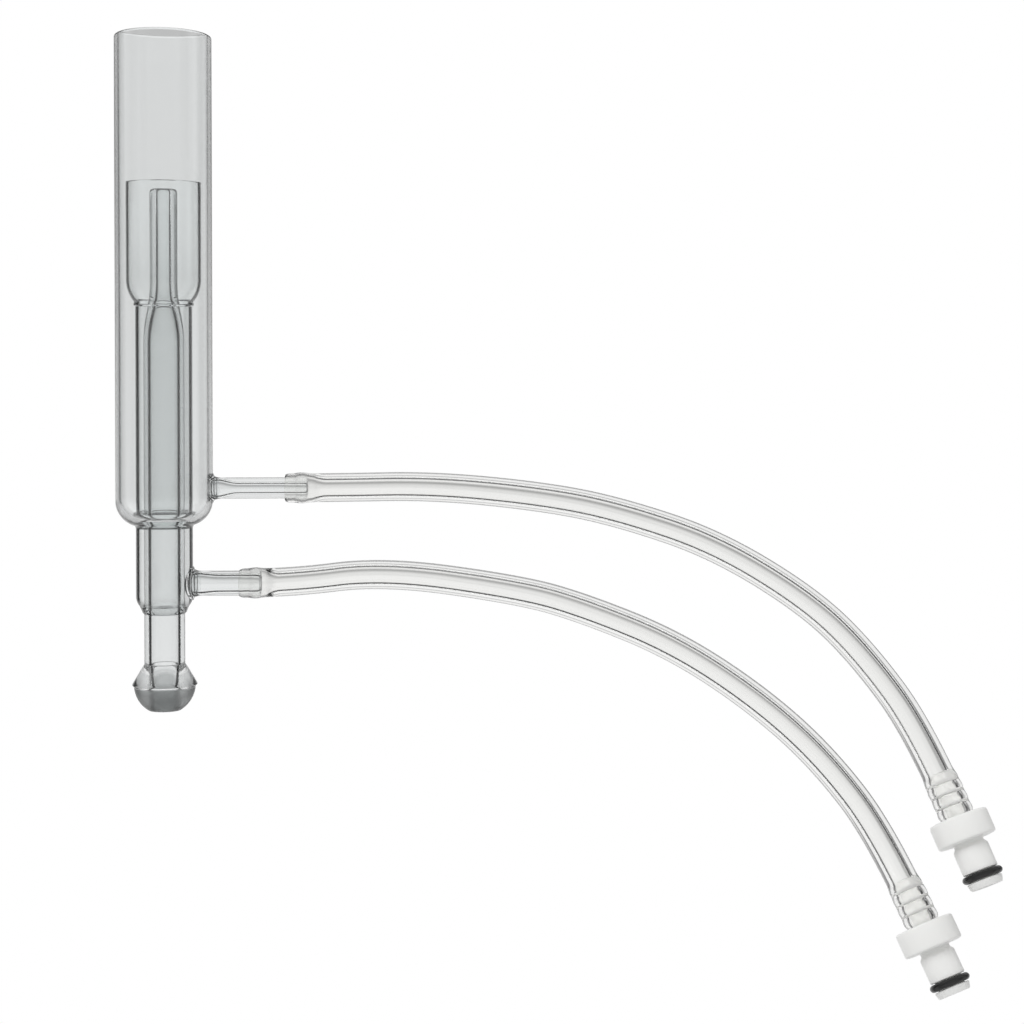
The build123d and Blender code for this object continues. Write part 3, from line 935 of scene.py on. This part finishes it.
class TORCH_OT_hoses(bpy.types.Operator):
    """Sweep the two clear hoses over their arms and barbs"""

    bl_idname = "torch.hoses"
    bl_label = "Hoses"

    def execute(self, context):
        for name, route in (("plasma", PLASMA_ROUTE), ("auxiliary", AUXILIARY_ROUTE)):
            self.hose(context, name, route)
        return {"FINISHED"}

    def hose(self, context, name, route):
        h, c, arms = context.scene.torch_hoses, context.scene.torch_connector, context.scene.torch_arms
        node = f"{name}_gas_arm"
        arm_end = high(node).x - route[0][0] / MM
        arm_radius = (high(node).z - low(node).z) / 2 - arms.olive + 0.06
        path, total = evenly(spline_points(route), h.section_step * MM)
        total /= MM
        wall_area = h.radius**2 - h.bore**2
        outer, inner = [], []
        for i in range(len(path)):
            s = total * i / (len(path) - 1)
            bore, outside = h.bore, h.radius
            if s < arm_end + 4.0:
                bead = arms.olive * max(0.0, 1 - ((s - arm_end + arms.olive_back) / 1.4) ** 2)
                held, past = arm_radius + bead, s - arm_end - 0.2
                bore = held + (h.bore - held) * ease(past / 3.6)
                outside += (h.cuff + 0.6 * bead) * (1 - ease(past / 1.8))
            back = total - s
            if back < h.barb_cuff:
                opened = c.barb - 0.18
                ridge = 0.1 * sin(tau * (back - 0.6) / c.barb_pitch)
                bore = h.bore + (opened + ridge - h.bore) * ease((h.barb_cuff - back) / 2.6)
                outside = (wall_area + bore * bore) ** 0.5
            inner.append(bore * MM)
            outer.append(outside * MM)
        for end, way in ((0, 1), (len(path) - 1, -1)):
            outer[end] -= 0.25 * MM
            outer[end + way] -= 0.08 * MM
            inner[end] += 0.08 * MM
        piece = hollow_tube(f"{name}_hose", path, outer, inner, h.sides)
        finished(piece, f"{name}_line", f"{name}_hose", vinyl())


# -------------------------------------------------------------------------------- panel
class TORCH_PT_panel(bpy.types.Panel):
    """Lists the steps that build the torch"""

    bl_idname = "TORCH_PT_panel"
    bl_label = "Quartz torch"
    bl_space_type = "VIEW_3D"
    bl_region_type = "UI"
    bl_category = "Torch"

    def draw(self, context):
        for step in STEPS:
            self.layout.operator(step.bl_idname)


GROUPS = {
    "torch_glass": TorchGlass,
    "torch_arms": TorchArms,
    "torch_hoses": TorchHoses,
    "torch_connector": TorchConnector,
    "torch_finish": TorchFinish,
}
STEPS = (
    TORCH_OT_stage,
    TORCH_OT_connectors,
    TORCH_OT_hoses,
    TORCH_OT_outer_tube,
    TORCH_OT_intermediate_tube,
    TORCH_OT_injector,
    TORCH_OT_ball_joint,
    TORCH_OT_gas_arms,
)


def register():
    """Register the classes and hang the property groups on the scene."""
    for kind in (*GROUPS.values(), *STEPS, TORCH_PT_panel):
        bpy.utils.register_class(kind)
    for name, group in GROUPS.items():
        setattr(bpy.types.Scene, name, bpy.props.PointerProperty(type=group))


def unregister():
    """Take the property groups and classes away again."""
    for name in GROUPS:
        delattr(bpy.types.Scene, name)
    for kind in reversed((*GROUPS.values(), *STEPS, TORCH_PT_panel)):
        bpy.utils.unregister_class(kind)


def main():
    """Build everything."""
    register()
    bpy.ops.torch.stage()
    bpy.ops.torch.connectors()
    bpy.ops.torch.hoses()
    bpy.ops.torch.outer_tube()
    bpy.ops.torch.intermediate_tube()
    bpy.ops.torch.injector()
    bpy.ops.torch.ball_joint()
    bpy.ops.torch.gas_arms()


if __name__ == "__main__":
    main()
